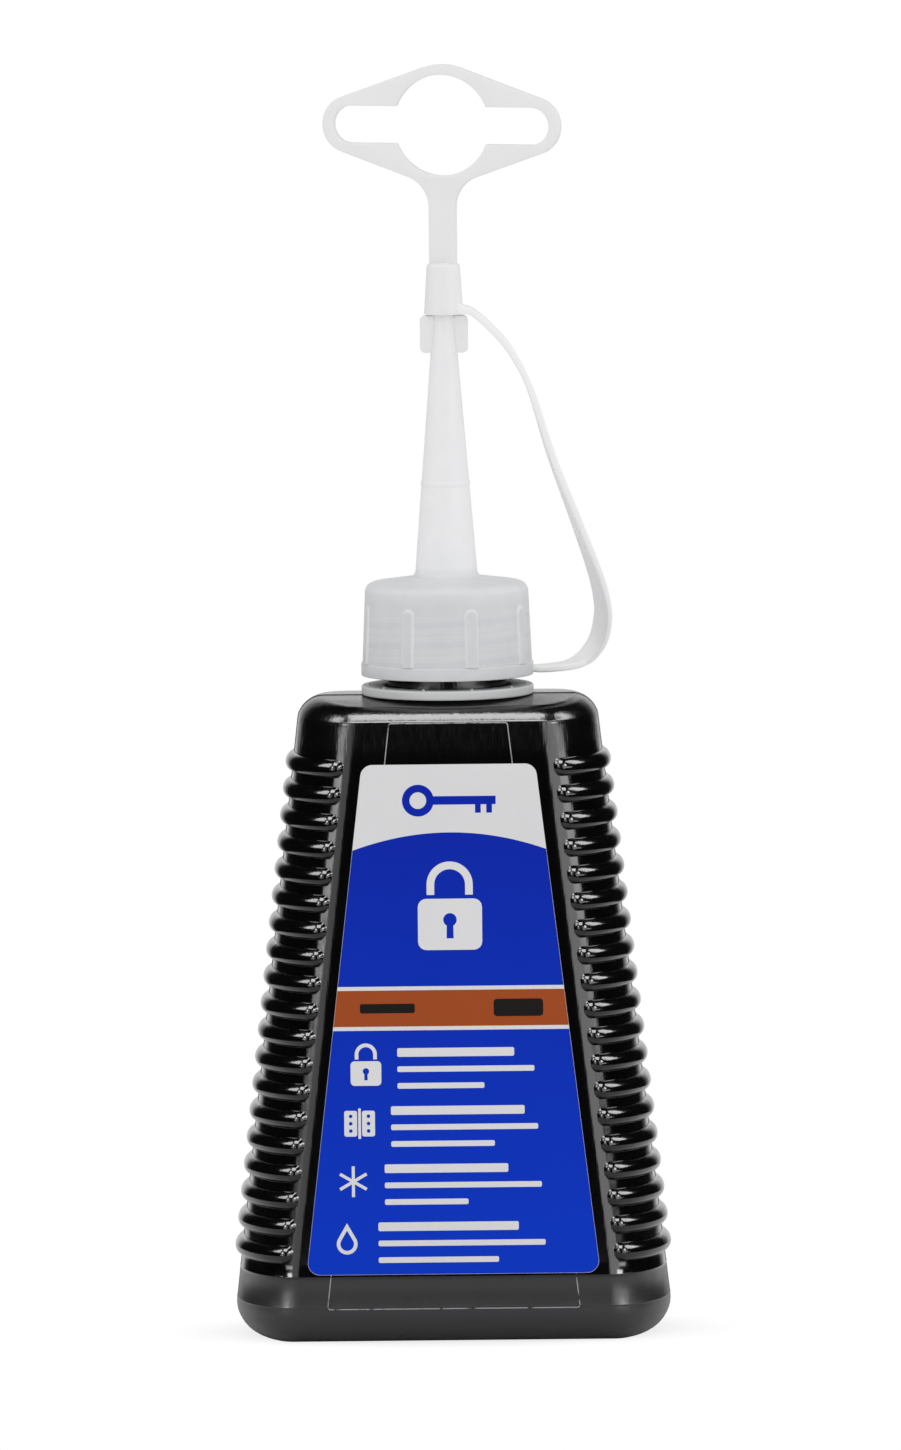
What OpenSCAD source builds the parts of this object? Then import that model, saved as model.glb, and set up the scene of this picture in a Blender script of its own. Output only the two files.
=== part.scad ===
// Squeeze bottle of graphite powder for locks. A ribbed bottle carries a label, a
// ring left from the first opening and a screw cap with a long spout. A strap on
// the cap holds a tip cap with a hanging eye. +Z is up and the label faces -Y.

/* [Bottle] */
// Width over the foot's rounding, the widest place of the plain wall
base_w = 64.9; // [52:0.1:80]
// Depth over the foot's rounding
base_d = 39; // [32:0.1:50]
// Width under the shoulder's rounding
shoulder_w = 45; // [40:0.1:56]
// Depth under the shoulder's rounding
shoulder_d = 33; // [30:0.1:44]
// Height of the shoulder at the neck and over the sides
shoulder_z = 95.9; // [70:0.1:140]
// How far the bowed side reaches out past the flat front
side_bow = 9; // [7:0.1:12]
// Rounding of the foot
foot_round = 5.3; // [3:0.1:8]
// Rounding of the shoulder
shoulder_round = 3.4; // [2.5:0.1:5]
// How far the shoulder falls towards the front and the back
shoulder_fall = 0.55; // [0:0.05:1]
// Wall thickness
wall = 1.2; // [0.8:0.1:2]

/* [Grip ribs] */
// Height of the lowest rib's middle
rib_first_z = 13.5; // [12:0.1:30]
// Least height from the top rib's middle to the shoulder's rounding
rib_top_margin = 6; // [3:0.1:20]
// Spacing of the ribs
rib_pitch = 4.04; // [3.5:0.01:8]
// Height of a rib
rib_h = 2.75; // [1.5:0.05:3.4]
// How far a rib stands proud
rib_proud = 1.2; // [0.4:0.05:1.6]
// Turn from the middle of the side to where a rib's round end starts, in degrees
rib_wrap = 72; // [40:1:76]

/* [Neck] */
// Neck outside, under its thread
neck_d = 18.1; // [16:0.1:22]
// Neck wall
neck_wall = 1.45; // [1:0.05:2.5]
// Neck height over the shoulder
neck_h = 13.6; // [11:0.1:20]

/* [Label] */
// Label width at its top
label_top_w = 26; // [16:0.1:27]
// Label width at its bottom
label_bottom_w = 44; // [30:0.1:45]
// Height of the label's lower edge
label_z = 10.5; // [8:0.1:20]
// Label height, measured up the front
label_h = 76.4; // [40:0.1:78]
// Rounding of the label's corners
label_corner = 1.8; // [0.5:0.1:4]
// Label thickness
label_t = 0.15; // [0.1:0.01:0.4]

/* [Powder] */
// Level of the powder in the standing bottle
powder_z = 62; // [20:1:66]

/* [Ring] */
// Ring outside
ring_d = 25.8; // [23:0.1:30]
// Ring thickness
ring_t = 1.4; // [0.8:0.1:2.5]

/* [Screw cap] */
// Room between the neck and the skirt for the thread
thread_room = 1.8; // [1:0.05:2.5]
// Wall of the skirt under its round top edge
cap_wall = 1.4; // [0.8:0.05:2]
// Draft of the skirt's outside, in degrees
cap_draft = 2.5; // [0.5:0.1:5]
// Roof thickness at the round edge
cap_roof = 1.9; // [1.6:0.1:3]
// Rounding of the top edge
cap_round = 1.5; // [0.6:0.1:1.5]
// Slope of the roof, in degrees
cap_slope = 8; // [2:0.5:15]
// How far the cap stands backed off from its tight place
cap_backed_off = 1.3; // [0.1:0.1:3]
// Height of the rim
rim_h = 2; // [1.2:0.1:3]
// How far the rim stands out past the skirt's foot
rim_proud = 0.2; // [0.1:0.05:1]
// Number of grip ribs on the skirt
cap_ribs = 8; // [4:1:12]
// Width of a grip rib
cap_rib_w = 2.25; // [1.5:0.05:3]
// How far a grip rib stands proud
cap_rib_proud = 0.35; // [0.2:0.05:0.45]
// Bare height between a grip rib's end and the roof's edge
cap_rib_below = 3.2; // [2:0.1:5]
// Turn of the first grip rib, in degrees from the front towards the right
cap_rib_turn = 17; // [0:1:44]
// Length of the plug that seals the neck
plug_h = 3.5; // [2:0.1:5]
// Wall of the plug
plug_wall = 1; // [0.6:0.1:1.5]

/* [Spout] */
// Spout diameter on the roof
spout_base_d = 9.4; // [7:0.1:12]
// Spout diameter at its tip
spout_tip_d = 2.24; // [1.8:0.02:3]
// Spout height over the roof
spout_h = 44.9; // [25:0.1:60]
// Bore at the foot of the spout
spout_bore_base_d = 7.2; // [4:0.1:7.6]
// Bore at the tip
spout_bore_tip_d = 1.2; // [0.6:0.1:1.4]
// Height of the fine moulding bead over the roof
bead_rise = 14; // [4:0.5:18]
// How far the bead stands proud
bead_proud = 0.15; // [0.05:0.05:0.4]
// Span over the two wings
wing_span = 7.2; // [5:0.1:10]
// Wing height
wing_h = 5.6; // [3:0.1:8]
// Wing thickness
wing_t = 1.4; // [0.8:0.1:2]
// Rounding of the wings' corners
wing_corner = 0.8; // [0.2:0.1:1.5]

/* [Tip cap] */
// Tip cap diameter at its foot
tip_foot_d = 5.9; // [5:0.1:8]
// Tip cap diameter at its top
tip_top_d = 5; // [4.4:0.1:7]
// Tip cap height
tip_h = 7.7; // [6.5:0.1:12]
// Length of spout tip inside the tip cap
tip_grip = 5.6; // [3:0.1:6]
// Rounding of the tip cap's top edge
tip_round = 0.6; // [0.2:0.1:1.2]

/* [Hanging eye] */
// Width of the stem
stem_w = 4.05; // [3:0.05:4.8]
// Height from the tip cap to the middle of the eye
eye_rise = 20.7; // [16:0.1:40]
// Plate thickness
eye_t = 1.5; // [1:0.1:3]
// Diameter of the round hole
eye_hole_d = 15.15; // [12:0.05:20]
// Band of plate round the hole and slot
eye_band = 1.55; // [1:0.05:3]
// Length of the slot from end to end
slot_w = 33.7; // [24:0.1:45]
// Height of the slot
slot_h = 5.6; // [4:0.1:6.2]
// Plate left at the slot's ends
eye_end = 1.7; // [1.2:0.1:4]
// Fillets between the stem and the plate
stem_fillet = 4.8; // [1:0.1:6]
// Turn of the plate from facing front, in degrees
eye_turn = -17; // [-90:1:90]

/* [Strap] */
// Strap width
strap_w = 4; // [2:0.1:5]
// Strap thickness
strap_t = 1; // [0.6:0.1:1.4]
// Turn of the strap's root on the rim, in degrees from the right towards the back
strap_turn = 37; // [-20:1:60]
// How far the strap bows out from the spout's axis
strap_reach = 27; // [22:0.1:40]
// Length of the two stubs that the strap runs out of
strap_stub = 0.9; // [0.4:0.1:2]

/* [Clearances] */
// Ring above the shoulder
ring_seat = 0.1; // [0.05:0.05:0.3]
// Ring round the neck
ring_play = 0.55; // [0.2:0.05:1]
// Tight cap above the neck and the ring
cap_seat = 0.15; // [0.1:0.05:0.3]
// Plug inside the neck
plug_play = 0.2; // [0.1:0.05:0.4]
// Powder inside the wall
powder_gap = 0.2; // [0.1:0.05:0.5]
// Tip cap above the wings
tip_seat = 0.15; // [0.1:0.05:0.3]
// Tip cap round the spout
tip_play = 0.15; // [0.1:0.05:0.3]

/* [Hidden] */
$fn = 64;
// Overlap that makes a cut or a join clean
bite = 0.5;

// The bottle's straight walls run from the foot's rounding to the shoulder's
wall_foot_z = foot_round;
wall_top_z = shoulder_z - shoulder_round;
rib_n = 1 + floor((wall_top_z - rib_top_margin - rib_first_z) / rib_pitch);
rib_half = rib_h / 2;
front_lean = atan((base_d - shoulder_d) / 2 / (wall_top_z - wall_foot_z));
neck_top_z = shoulder_z + neck_h;
neck_bore_r = neck_d / 2 - neck_wall;

// Ring and screw cap, stacked on the shoulder and the neck
ring_z = shoulder_z + ring_seat;
ring_hole_r = neck_d / 2 + ring_play;
rim_z = ring_z + ring_t + cap_seat + cap_backed_off;
roof_under_z = neck_top_z + cap_seat + cap_backed_off;
roof_edge_z = roof_under_z + cap_roof;
skirt_bore_r = neck_d / 2 + thread_room;
skirt_top_r = skirt_bore_r + cap_wall;
edge_z = roof_edge_z - cap_round;
edge_r = skirt_top_r - cap_round;
skirt_foot_r = skirt_top_r + (edge_z - rim_z - rim_h) * tan(cap_draft);
rim_r = skirt_foot_r + rim_proud;
roof_out_r = edge_r + cap_round * sin(cap_slope);
roof_out_z = edge_z + cap_round * cos(cap_slope);
spout_z = roof_out_z + (roof_out_r - spout_base_d / 2) * tan(cap_slope);
spout_tip_z = spout_z + spout_h;
plug_r = neck_bore_r - plug_play;
// Round of a grip rib that is as wide and as proud as asked
cap_rib_r = (pow(cap_rib_w / 2, 2) + pow(cap_rib_proud, 2)) / (2 * cap_rib_proud);

// Tip cap, its wings below and its hanging eye above
wing_top_z = spout_tip_z - tip_grip - tip_seat;
tip_z = spout_tip_z - tip_grip;
tip_top_z = tip_z + tip_h;
eye_z = tip_top_z + eye_rise;
eye_r = eye_hole_d / 2 + eye_band;
eye_end_r = slot_h / 2 + eye_band;
eye_end_x = slot_w / 2 + eye_end - eye_end_r;
eye_lean = asin((eye_r - eye_end_r) / eye_end_x);

// The strap leaves both stubs level, at the foot of the rim and at the tip cap's foot
strap_low_z = rim_z + strap_t / 2;
strap_low_r = rim_r + strap_stub;
strap_high_z = tip_z + strap_t / 2;
strap_high_r = tip_foot_d / 2 + strap_stub;
// Strap's way between its stubs, in thousandths of its reach and of its rise
strap_bends = [
  [615, -12], [893, -6], [994, 40], [1000, 112], [943, 200],
  [769, 383], [604, 580], [489, 762], [424, 839], [341, 907], [256, 954], [194, 983]
];
strap_steps = 3;
// How soon the strap turns from its root's bearing to straight right on its way up
strap_untwist = 1.8;
strap_edge = 0.25;

function mix(a, b, t) = a + (b - a) * t;
function unit(v) = v / norm(v);

// Width and depth of the plain bottle at a height
function wall_share(z) = (z - wall_foot_z) / (wall_top_z - wall_foot_z);
function width_at(z) = mix(base_w, shoulder_w, wall_share(z));
function depth_at(z) = mix(base_d, shoulder_d, wall_share(z));

// Rows of the bottle's skin, each a height, an inset and its place across a rib
foot_turns = [0, 20, 40, 60, 75, 90];
shoulder_turns = [90, 65, 40, 20, 0];
rib_places = [-1, -0.72, 0, 0.72, 1];
plain = 1;
function rounded_row(z, way, r, inset, turn) =
  [z + way * r * (1 - cos(turn)), inset + r * (1 - sin(turn)), plain];
function foot_rows(inset) =
  [for (turn = foot_turns) rounded_row(inset, 1, foot_round - inset, inset, turn)];
function shoulder_rows(inset) =
  [for (turn = shoulder_turns) rounded_row(shoulder_z - inset, -1, shoulder_round - inset, inset, turn)];
rib_rows = [
  for (i = [0 : rib_n - 1]) for (place = rib_places)
    [rib_first_z + i * rib_pitch + place * rib_half, 0, place]
];

// Columns round one side, each a turn from the side's middle and its place along a rib's round end
side_steps = 4;
end_places = [0.5, 0.8, 1];
mean_depth = (base_d + shoulder_d) / 2;
end_speed = norm([side_bow * sin(rib_wrap), mean_depth / 2 * cos(rib_wrap)]);
end_turn = rib_half / end_speed * 180 / PI;
half_side = concat(
  [for (i = [0 : side_steps]) [rib_wrap * i / side_steps, 0]],
  [for (place = end_places) [rib_wrap + place * end_turn, place]],
  [[90, plain]]
);
side_columns = concat(
  [for (i = [len(half_side) - 1 : -1 : 1]) [-half_side[i][0], half_side[i][1]]],
  half_side
);

// The shoulder's rounding ends lower at the front and the back than at the sides
function shoulder_drop(z, turn) =
  shoulder_fall * pow(sin(turn), 2) * max(0, z - wall_top_z) / shoulder_round;
// A rib is half round across and ends in a ball
function rib_swell(across, along) = rib_proud * sqrt(max(0, 1 - across * across - along * along));
function skin_point(row, side, column) =
  let (
    z = row[0],
    a = side_bow - row[1],
    b = depth_at(z) / 2 - row[1],
    turn = column[0] + (side > 0 ? 0 : 180),
    out = unit([cos(turn) / a, sin(turn) / b]) * rib_swell(row[2], column[1])
  )
  [
    side * (width_at(z) / 2 - side_bow) + a * cos(turn) + out[0],
    b * sin(turn) + out[1],
    z - shoulder_drop(z, turn)
  ];
function skin_ring(row) =
  [for (side = [1, -1]) for (column = side_columns) skin_point(row, side, column)];
// Level ring inside a round of the given size, which ends the skin under the neck
function end_ring(r, z) =
  [for (side = [1, -1]) for (column = side_columns) [
    side * r / 2 * (1 + cos(column[0])),
    side * r * 0.8 * sin(column[0]),
    z
  ]];

// Closed solid through rings of equally many points, listed anticlockwise along the way up
module ringed_solid(rings) {
  n = len(rings[0]);
  last = (len(rings) - 1) * n;
  walls = [
    for (i = [0 : len(rings) - 2]) for (j = [0 : n - 1])
      let (a = i * n + j, b = i * n + (j + 1) % n)
        each [[a, a + n, b + n], [a, b + n, b]]
  ];
  ends = [[for (j = [0 : n - 1]) j], [for (j = [n - 1 : -1 : 0]) last + j]];
  polyhedron(points = [for (ring = rings) each ring], faces = concat(walls, ends));
}

// Flat convex outline with round corners, from corners listed anticlockwise
function inward(a, b) = let (d = unit(b - a)) [-d[1], d[0]];
module round_cornered(corners, r) {
  n = len(corners);
  rounds = [
    for (i = [0 : n - 1])
      let (
        from = inward(corners[(i + n - 1) % n], corners[i]),
        to = inward(corners[i], corners[(i + 1) % n])
      )
      [corners[i] + (from + to) * r / (1 + from * to), from, to]
  ];
  polygon([for (c = rounds) each [c[0] - r * c[1], c[0] - r * c[2]]]);
  for (c = rounds) translate(c[0]) circle(r);
}

// Outline on the XZ plane, made a plate centred on it
module upright_plate(thickness) {
  rotate([90, 0, 0]) linear_extrude(thickness, center = true) children();
}

// Stub on a round wall, level and square to the strap that runs out of it
module strap_root(r, z, turn) {
  rotate([0, 0, turn])
    translate([r - bite, -strap_w / 2, z - strap_t / 2])
      cube([strap_stub + bite, strap_w, strap_t]);
}

module bottle() {
  bore_z = shoulder_z - wall - bite;
  color("#1a1a1d") difference() {
    union() {
      ringed_solid(concat(
        [for (row = concat(foot_rows(0), rib_rows, shoulder_rows(0))) skin_ring(row)],
        [end_ring(neck_d / 2, shoulder_z)]
      ));
      translate([0, 0, shoulder_z - wall / 2]) cylinder(d = neck_d, h = neck_h + wall / 2);
    }
    ringed_solid(concat(
      [for (row = concat(foot_rows(wall), shoulder_rows(wall))) skin_ring(row)],
      [end_ring(neck_bore_r, shoulder_z - wall)]
    ));
    translate([0, 0, bore_z]) cylinder(r = neck_bore_r, h = neck_top_z - bore_z + bite);
  }
}

module front_label() {
  up = (label_z - wall_foot_z) / cos(front_lean);
  color("#0a35b4")
    translate([0, -base_d / 2, wall_foot_z])
      rotate([90 - front_lean, 0, 0])
        linear_extrude(label_t)
          round_cornered([
            [-label_bottom_w / 2, up], [label_bottom_w / 2, up],
            [label_top_w / 2, up + label_h], [-label_top_w / 2, up + label_h]
          ], label_corner);
}

module graphite_powder() {
  inset = wall + powder_gap;
  color("#3a3a3e")
    ringed_solid([for (row = concat(foot_rows(inset), [[powder_z, inset, plain]])) skin_ring(row)]);
}

module tamper_ring() {
  color("#d5d6d9")
    translate([0, 0, ring_z])
      difference() {
        cylinder(d = ring_d, h = ring_t);
        translate([0, 0, -bite]) cylinder(r = ring_hole_r, h = ring_t + 2 * bite);
      }
}

// Half outline of the screw cap with its spout, filled in to the axis
function spout_r(z) = mix(spout_base_d, spout_tip_d, (z - spout_z) / spout_h) / 2;
module cap_profile() {
  bead_z = spout_z + bead_rise;
  bead_half = 2 * bead_proud;
  polygon([
    [0, rim_z], [rim_r, rim_z], [rim_r, rim_z + rim_h], [skirt_foot_r, rim_z + rim_h],
    [edge_r + cap_round * cos(cap_draft), edge_z + cap_round * sin(cap_draft)],
    [roof_out_r, roof_out_z],
    [spout_base_d / 2, spout_z],
    [spout_r(bead_z - bead_half), bead_z - bead_half],
    [spout_r(bead_z) + bead_proud, bead_z],
    [spout_r(bead_z + bead_half), bead_z + bead_half],
    [spout_tip_d / 2, spout_tip_z], [0, spout_tip_z]
  ]);
  translate([edge_r, edge_z]) circle(cap_round);
}

// Half outline of what is hollow in the cap and the spout
module cap_hollow_profile() {
  polygon([
    [0, rim_z - bite], [skirt_bore_r, rim_z - bite], [skirt_bore_r, roof_under_z],
    [spout_bore_base_d / 2, roof_under_z], [spout_bore_tip_d / 2, spout_tip_z],
    [spout_bore_tip_d / 2, spout_tip_z + bite], [0, spout_tip_z + bite]
  ]);
}

module cap_grip_rib() {
  foot_z = rim_z + rim_h - bite;
  length = roof_edge_z - cap_rib_below - cap_rib_w / 2 - foot_z;
  translate([skirt_foot_r + cap_rib_proud - cap_rib_r, 0, foot_z])
    rotate([0, -cap_draft, 0])
      rotate_extrude() {
        square([cap_rib_r, length]);
        translate([0, length]) intersection() {
          circle(cap_rib_r);
          square(cap_rib_r);
        }
      }
}

module wings() {
  x = wing_span / 2;
  translate([0, 0, wing_top_z])
    upright_plate(wing_t)
      round_cornered([[-x, -wing_h], [x, -wing_h], [x, 0], [-x, 0]], wing_corner);
}

module spout_cap() {
  color("#dcdde0") {
    difference() {
      union() {
        rotate_extrude() cap_profile();
        for (i = [0 : cap_ribs - 1])
          rotate([0, 0, cap_rib_turn - 90 + i * 360 / cap_ribs]) cap_grip_rib();
        wings();
        strap_root(rim_r, strap_low_z, strap_turn);
      }
      rotate_extrude() cap_hollow_profile();
    }
    translate([0, 0, roof_under_z - plug_h]) difference() {
      cylinder(r = plug_r, h = plug_h + bite);
      translate([0, 0, -bite]) cylinder(r = plug_r - plug_wall, h = plug_h + 3 * bite);
    }
  }
}

// Strap points on a smooth curve, as distance from the axis and height
strap_nodes = concat(
  [[strap_low_r, strap_low_z]],
  [for (p = strap_bends) [strap_reach * p[0] / 1000, mix(strap_low_z, strap_high_z, p[1] / 1000)]],
  [[strap_high_r, strap_high_z]]
);
function strap_node(i) = strap_nodes[max(0, min(len(strap_nodes) - 1, i))];
function strap_curve(i, t) =
  let (a = strap_node(i - 1), b = strap_node(i), c = strap_node(i + 1), d = strap_node(i + 2))
  b + t / 2 * (c - a + t * (2 * a - 5 * b + 4 * c - d + t * (3 * (b - c) + d - a)));
// The strap turns from its root's bearing on the rim to straight right at the tip cap
function strap_bearing(z) =
  let (left = max(0, 1 - (z - strap_low_z) / (strap_high_z - strap_low_z)))
  strap_turn * pow(min(1, left), strap_untwist);
strap_profile = concat(
  [for (i = [0 : len(strap_nodes) - 2]) for (k = [0 : strap_steps - 1]) strap_curve(i, k / strap_steps)],
  [strap_node(len(strap_nodes) - 1)]
);
strap_line = [
  for (p = strap_profile)
    let (turn = strap_bearing(p[1])) [p[0] * cos(turn), p[0] * sin(turn), p[1]]
];
function strap_ring(i) =
  let (
    n = len(strap_line),
    turn = strap_bearing(strap_line[i][2]),
    level = [cos(turn), sin(turn), 0],
    along = i == 0 ? level : i == n - 1 ? -level : unit(strap_line[i + 1] - strap_line[i - 1]),
    flat = [-sin(turn), cos(turn), 0],
    across = unit(flat - (flat * along) * along),
    up = cross(along, across),
    w = strap_w / 2,
    t = strap_t / 2
  )
  [for (p = [
      [-w, -t + strap_edge], [-w + strap_edge, -t], [w - strap_edge, -t], [w, -t + strap_edge],
      [w, t - strap_edge], [w - strap_edge, t], [-w + strap_edge, t], [-w, t - strap_edge]
    ])
    strap_line[i] + p[0] * across + p[1] * up];

module tether_strap() {
  color("#e3e4e6") ringed_solid([for (i = [0 : len(strap_line) - 1]) strap_ring(i)]);
}

// Half outline of the tip cap's cup, filled in to the axis
module tip_profile() {
  r = tip_top_d / 2;
  polygon([
    [0, tip_z], [tip_foot_d / 2, tip_z], [r, tip_top_z - tip_round],
    [r - tip_round, tip_top_z], [0, tip_top_z]
  ]);
  translate([r - tip_round, tip_top_z - tip_round]) circle(tip_round);
}

// Plate round the eye, with the stem below it, about the middle of the round hole
module eye_outline() {
  s = sin(eye_lean);
  c = cos(eye_lean);
  fillet_x = stem_w / 2 + stem_fillet;
  fillet_y = (s * fillet_x - eye_r - stem_fillet) / c;
  web = [fillet_x - stem_fillet * s, fillet_y + stem_fillet * c];
  difference() {
    union() {
      circle(eye_r);
      for (side = [1, -1]) translate([side * eye_end_x, 0]) circle(eye_end_r);
      polygon([
        for (side = [1, -1]) each [
          [side * (eye_end_x + eye_end_r * s), -side * eye_end_r * c],
          [side * (eye_end_x + eye_end_r * s), side * eye_end_r * c],
          [side * eye_r * s, side * eye_r * c],
          [-side * eye_r * s, side * eye_r * c]
        ]
      ]);
      difference() {
        polygon([[-fillet_x, fillet_y], [fillet_x, fillet_y], web, [0, 0], [-web[0], web[1]]]);
        for (side = [1, -1]) translate([side * fillet_x, fillet_y]) circle(stem_fillet);
      }
      translate([-stem_w / 2, -eye_rise - bite]) square([stem_w, eye_rise + fillet_y + 2 * bite]);
    }
    circle(d = eye_hole_d);
    square([slot_w - slot_h, slot_h], center = true);
    for (side = [1, -1]) translate([side * (slot_w - slot_h) / 2, 0]) circle(d = slot_h);
  }
}

module tip_cap() {
  socket_h = tip_grip + tip_seat;
  color("#e6e7e9") difference() {
    union() {
      rotate_extrude() tip_profile();
      rotate([0, 0, eye_turn]) translate([0, 0, eye_z]) upright_plate(eye_t) eye_outline();
      strap_root(tip_foot_d / 2, strap_high_z, 0);
    }
    translate([0, 0, tip_z - bite])
      cylinder(
        r1 = spout_r(tip_z - bite) + tip_play, r2 = spout_tip_d / 2 + tip_play, h = socket_h + bite
      );
  }
}

bottle();
front_label();
graphite_powder();
tamper_ring();
spout_cap();
tether_strap();
tip_cap();
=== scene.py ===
"""Looks of a squeeze bottle of graphite powder for locks: black ribbed bottle, label, screw cap
with spout, strap and tip cap with a hanging eye. Sizes are in millimetres and meshes in metres."""
from functools import partialmethod
from math import acos, asin, atan, atan2, cos, degrees, pi, radians, sin, tan

import bpy
import numpy as np
from mathutils import Matrix, Vector
from mathutils.geometry import tessellate_polygon


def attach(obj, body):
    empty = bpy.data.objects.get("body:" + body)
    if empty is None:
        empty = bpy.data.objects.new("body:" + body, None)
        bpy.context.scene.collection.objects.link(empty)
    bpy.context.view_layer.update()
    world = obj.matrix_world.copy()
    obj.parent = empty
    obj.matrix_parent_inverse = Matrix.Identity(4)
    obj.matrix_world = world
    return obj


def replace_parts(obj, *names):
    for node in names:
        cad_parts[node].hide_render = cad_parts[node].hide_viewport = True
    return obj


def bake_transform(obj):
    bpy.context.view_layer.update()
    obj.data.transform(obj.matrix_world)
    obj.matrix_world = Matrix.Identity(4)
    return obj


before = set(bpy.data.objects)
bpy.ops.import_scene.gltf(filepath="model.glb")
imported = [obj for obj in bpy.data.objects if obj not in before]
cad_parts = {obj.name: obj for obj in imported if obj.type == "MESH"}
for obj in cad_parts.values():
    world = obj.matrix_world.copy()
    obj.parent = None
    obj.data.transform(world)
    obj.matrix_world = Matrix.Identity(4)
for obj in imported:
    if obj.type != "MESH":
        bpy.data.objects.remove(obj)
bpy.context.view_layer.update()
scene = bpy.context.scene
MM = 0.001

# Sizes of the bottle
BASE_W, BASE_D, SHOULDER_W, SHOULDER_D = 64.9, 39.0, 45.0, 33.0
SHOULDER_Z, SIDE_BOW, FOOT_ROUND, SHOULDER_ROUND, WALL = 95.9, 9.0, 5.3, 3.4, 1.2
SHOULDER_FALL = 0.55
WALL_TOP_Z = SHOULDER_Z - SHOULDER_ROUND
RIB_FIRST_Z, RIB_COUNT, RIB_PITCH, RIB_H, RIB_PROUD, RIB_WRAP = 13.5, 19, 4.04, 2.75, 1.195, 72.0
NECK_R, NECK_BORE_R, NECK_TOP_Z = 9.05, 7.6, 109.5
FOOT_TOP_Z, BASE_HUB_R, PARTING_PROUD = 10.2, 9.5, 0.05
FRONT_LEAN = atan((BASE_D - SHOULDER_D) / 2 / (WALL_TOP_Z - FOOT_ROUND))
# Thread of the neck and the cap
THREAD_PITCH, NECK_THREAD, CAP_THREAD = 3.0, 1.0, 1.0
# Ring and screw cap
RING_Z, RING_T, RING_R, RING_HOLE_R = 96.0, 1.4, 12.9, 9.6
RIM_Z, RIM_H, RIM_R = 98.85, 2.0, 12.908
SKIRT_FOOT_R, SKIRT_TOP_R, SKIRT_BORE_R = 12.708, 12.25, 10.85
ROOF_UNDER_Z, CAP_EDGE_Z, CAP_EDGE_R, CAP_ROUND, CAP_SLOPE = 110.95, 111.35, 10.75, 1.5, 8.0
CAP_DRAFT, GRIP_TOP_Z, GRIP_TURN = 2.5, 108.525, -73.0
PLUG_R, PLUG_BORE_R, PLUG_Z = 7.4, 6.4, 107.45
# Spout and tip cap
SPOUT_Z, SPOUT_R, SPOUT_TIP_Z, SPOUT_TIP_R = 113.715, 4.7, 158.615, 1.12
SPOUT_BORE_R, SPOUT_TIP_BORE_R, BEAD_Z, BEAD_PROUD = 3.6, 0.6, 127.715, 0.15
WING_TOP_Z, WING_SPAN, WING_H, WING_T, WING_CORNER, WING_SOFT = 152.865, 7.2, 5.6, 1.4, 0.8, 0.18
TIP_Z, TIP_TOP_Z, TIP_R, TIP_TOP_R, TIP_ROUND = 153.015, 160.715, 2.95, 2.5, 0.6
TIP_PLAY = 0.15
# Hanging eye
EYE_Z, EYE_T, EYE_TURN, STEM_W, STEM_FILLET = 181.415, 1.5, -17.0, 4.05, 4.8
EYE_HOLE_R, EYE_R, SLOT_W, SLOT_H = 7.575, 9.12, 33.7, 5.6
EYE_END_X, EYE_END_R, EYE_SOFT, STEM_SUNK = 14.2, 4.35, 0.16, 0.4
# Strap
STRAP_W, STRAP_T, STRAP_CORNER, STRAP_TURN, STRAP_UNTWIST, STRAP_REACH = 4.0, 1.0, 0.3, 37.0, 1.8, 27.0
STRAP_LOW_R, STRAP_LOW_Z, STRAP_HIGH_R, STRAP_HIGH_Z = 13.808, 99.35, 3.85, 153.515
ROOT_WEB_H, ROOT_WEB_LONG, TIP_WEB_H, TIP_WEB_LONG = 1.0, 2.6, 0.9, 2.3
# Label, on the leaning front
LABEL_LOW, LABEL_H, LABEL_W, LABEL_TOP_W, LABEL_CORNER = 5.2, 76.4, 44.0, 26.0, 1.8
STOCK_T, INK_T = 0.11, 0.02


# Node trees

class Field:
    """A number on a wire of a node tree, so that a rule reads as a formula."""

    def __init__(self, tree, socket):
        self.tree, self.socket = tree, socket

    def math(self, operation, *others):
        node = self.tree.nodes.new("ShaderNodeMath")
        node.operation = operation
        for term, place in zip((self, *others), node.inputs):
            if isinstance(term, Field):
                self.tree.links.new(term.socket, place)
            else:
                place.default_value = term
        return Field(self.tree, node.outputs[0])

    __add__ = __radd__ = partialmethod(math, "ADD")
    __mul__ = __rmul__ = partialmethod(math, "MULTIPLY")
    __sub__ = partialmethod(math, "SUBTRACT")
    __truediv__ = partialmethod(math, "DIVIDE")
    floor = partialmethod(math, "FLOOR")
    fract = partialmethod(math, "FRACT")
    size = partialmethod(math, "ABSOLUTE")
    sin = partialmethod(math, "SINE")
    cos = partialmethod(math, "COSINE")

    def __rsub__(self, other):
        return self * -1.0 + other

    def __rtruediv__(self, other):
        return self.math("POWER", -1.0) * other

    def root(self):
        return self.math("MAXIMUM", 0.0).math("SQRT")

    def within(self, low, high):
        return self.math("MAXIMUM", low).math("MINIMUM", high)

    def eased(self):
        share = self.within(0.0, 1.0)
        return share * share * (3.0 - 2.0 * share)


def new_tree(name, sizes):
    """Node tree that takes points and these named sizes, with its wires by name."""
    tree = bpy.data.node_groups.new(name, "GeometryNodeTree")
    tree.interface.new_socket("Points", in_out="INPUT", socket_type="NodeSocketGeometry")
    for label, value in sizes.items():
        kind = "NodeSocketInt" if isinstance(value, int) else "NodeSocketFloat"
        tree.interface.new_socket(label, in_out="INPUT", socket_type=kind).default_value = value
    tree.interface.new_socket("Material", in_out="INPUT", socket_type="NodeSocketMaterial")
    tree.interface.new_socket("Mesh", in_out="OUTPUT", socket_type="NodeSocketGeometry")
    given = tree.nodes.new("NodeGroupInput").outputs
    return tree, given, {label: Field(tree, given[label]) for label in sizes}


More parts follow.
